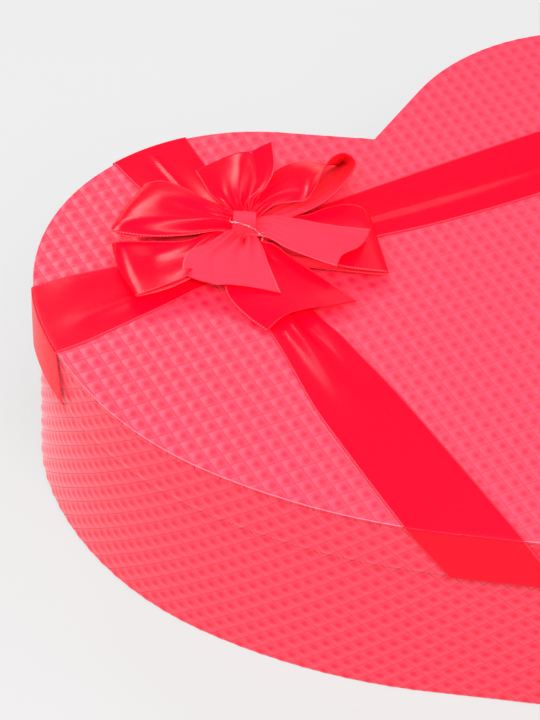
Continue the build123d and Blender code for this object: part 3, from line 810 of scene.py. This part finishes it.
# Shares by which the band is drawn in at its waist, rippled, lowered at its ends and narrowed on top, and the powers
# that square its section.
waist, ripple, sag, drawn_in, side_round, top_round = 0.05, 0.012, 0.015, 0.06, 0.55, 0.6
knot_middle = knot + knot_across * knot_back
columns, rows = 16, 40
bm, grid = flat_grid(columns, rows)
at = {}
for vert, column, row in grid:
    share, sweep = column / columns * 2 - 1, row / rows * pi
    inner = cos(share * pi / 2)
    pinch = 1 - waist * inner + ripple * sin(5.5 * share + 1.0)
    side = -np.sign(cos(sweep)) * abs(cos(sweep)) ** side_round * knot_depth / 2 * pinch
    rise = abs(sin(sweep)) ** top_round * (knot_height - knot_low) * (1 - sag + sag * inner)
    narrow = knot_length / 2 * (1 - drawn_in + drawn_in * cos(sweep) ** 2)
    spot = knot_middle + knot_along * share * narrow + knot_across * side
    at[vert] = (share * woven_half, sweep * knot_height * woven_share)
    vert.co = (spot[0], spot[1], lid_top + knot_low + rise)
lay_out(bm, at)
face_up(bm)
bow_knot = new_piece("bow_knot", bm, "lid", "satin_ribbon", matte_back, matte_back, selvage_edge)
give_ply(bow_knot)
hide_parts("bow_knot_band")


# Tie wire: thin bright binding wire, two strands drawn across the front of the knot and twisted together at its right
# end, where they are nipped off and the two ends curl away.
silver, tree, shader = new_finish("silver_wire")
where = place(tree, "ShaderNodeTexCoord").outputs["Object"]
drawn = place(tree, "ShaderNodeTexNoise", {"Vector": where, "Scale": 2500.0, "Detail": 2.0}).outputs["Fac"]
fill(tree, shader, {"Base Color": (0.78, 0.74, 0.75, 1), "Metallic": 1.0,
                    "Roughness": ramp(tree, drawn, 0.3, 0.7, 0.18, 0.38)})

wire_run = ((-2.4, 6.0, 13.5), (-4.6, 1.4, 16.2), (-1.4, -0.9, 15.6), (2.0, -3.3, 14.0), (3.0, -4.2, 13.0),
            (3.5, -5.0, 12.4))
wire_ends = (((3.8, -6.4, 12.2), (2.8, -7.4, 11.8), (3.6, -7.6, 12.4)), ((4.3, -5.2, 13.0), (4.9, -6.0, 13.6)))
wire_round, strand_gap, twist_length = 0.00015, 0.00020, 0.0024
# The strands wind to and fro along this side, and between two shares of the wire's length they part into its ends.
wire_side, ends_part, wire_steps = (0.5, 0.86), (0.72, 0.85), 90
bm = bmesh.new()
for strand, curl in enumerate(wire_ends):
    route = smooth_through(wire_run + curl, wire_steps) / 1000
    travelled = along(route)
    thread = bpy.data.curves.new("wire_strand", "CURVE")
    thread.dimensions, thread.bevel_depth, thread.bevel_resolution, thread.use_fill_caps = "3D", wire_round, 2, True
    spline = thread.splines.new("POLY")
    spline.points.add(len(route) - 1)
    for point, spot, mile in zip(spline.points, route, travelled):
        apart = strand_gap * (1 - smooth_step(*ends_part, mile / travelled[-1]))
        turned = 2 * pi * mile / twist_length + pi * strand
        x, y = knot + spot[:2] + apart * cos(turned) * np.array(wire_side)
        point.co = (x, y, lid_top + spot[2] + apart * sin(turned), 1)
    drawn_out = bpy.data.objects.new("wire_strand", thread)
    bm.from_mesh(bpy.data.meshes.new_from_object(drawn_out))
    bpy.data.objects.remove(drawn_out)
bmesh.ops.recalc_face_normals(bm, faces=bm.faces)
tie_wire = new_piece("tie_wire", bm, "lid", "tie_wire", silver)
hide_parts("bow_tie_wire")


# Studio: a pale floor that runs out of sight, the camera and six soft lights. Three large ones fill in without a
# highlight, and those above, behind and over the front rim give the paper, the satin and the wire their gloss.
floor_size = 6.0
bm = bmesh.new()
bmesh.ops.create_grid(bm, x_segments=1, y_segments=1, size=floor_size)
floor_mesh = bpy.data.meshes.new("floor")
bm.to_mesh(floor_mesh)
bm.free()
floor = bpy.data.objects.new("floor", floor_mesh)
bpy.context.scene.collection.objects.link(floor)
floor_finish, tree, shader = new_finish("pale_floor")
floor_seen, floor_bounce = 0.64, 0.25
bounced = place(tree, "ShaderNodeLightPath").outputs["Is Diffuse Ray"]
fill(tree, shader, {"Base Color": (0.10, 0.10, 0.10, 1), "Emission Color": (1, 1, 1, 1),
                    "Emission Strength": ramp(tree, bounced, 0.0, 1.0, floor_seen, floor_bounce),
                    "Roughness": 0.9, "Specular IOR Level": 0.0})
floor.data.materials.append(floor_finish)

look_at = Vector((-0.08916, 0.01508, 0.080))
bearing, climb, tilt, away = radians(30.102), radians(42.866), radians(3.236), 1.10463
sight = Vector((sin(bearing) * cos(climb), cos(bearing) * cos(climb), -sin(climb)))
level = Vector((cos(bearing), -sin(bearing), 0))
upright = level.cross(sight)
right = level * cos(tilt) + upright * sin(tilt)
up = upright * cos(tilt) - level * sin(tilt)
camera = bpy.data.objects.new("camera", bpy.data.cameras.new("camera"))
camera.data.lens = 164.84
camera.data.sensor_width = 36.0
camera.data.clip_end = 20.0
camera.matrix_world = Matrix((right, up, -sight)).transposed().to_4x4()
camera.location = look_at - sight * away
bpy.context.scene.collection.objects.link(camera)
bpy.context.scene.camera = camera

world = bpy.data.worlds.new("studio")
world.use_nodes = True
fill(world.node_tree, world.node_tree.nodes["Background"], {"Color": (1, 1, 1, 1), "Strength": 0.12})
bpy.context.scene.world = world


def softbox(name, spot, aim, width, height, watts, shines=True):
    """A flat soft light at a spot, aimed at a point. One that doesn't shine fills in without a highlight."""
    light = bpy.data.lights.new(name, "AREA")
    light.shape = "RECTANGLE"
    light.size, light.size_y, light.energy = width, height, watts
    lamp = bpy.data.objects.new(name, light)
    lamp.location = spot
    lamp.rotation_mode = "QUATERNION"
    lamp.rotation_quaternion = (Vector(aim) - Vector(spot)).to_track_quat("-Z", "Y")
    lamp.visible_glossy = shines
    bpy.context.scene.collection.objects.link(lamp)


softbox("front_softbox", (-0.5, -0.95, 1.3), (-0.05, 0, 0.05), 1.6, 1.0, 46, False)
softbox("left_softbox", (-1.40, 0.25, 1.30), (-0.08, 0.05, 0.08), 1.0, 1.0, 24, False)
softbox("right_softbox", (1.3, 0.2, 1.5), (-0.05, 0.05, 0.08), 1.0, 1.0, 16, False)
softbox("top_softbox", (0.84, 0.37, 1.72), (-0.05, 0.05, 0.08), 1.0, 1.0, 5.5)
softbox("back_softbox", (-0.05, 1.48, 1.36), (-0.07, 0.066, 0.09), 0.55, 0.55, 12)
softbox("rim_softbox", (-0.70, -1.15, 1.75), (-0.05, 0, 0.08), 1.2, 0.3, 13)
bpy.context.scene.view_settings.view_transform = "Standard"
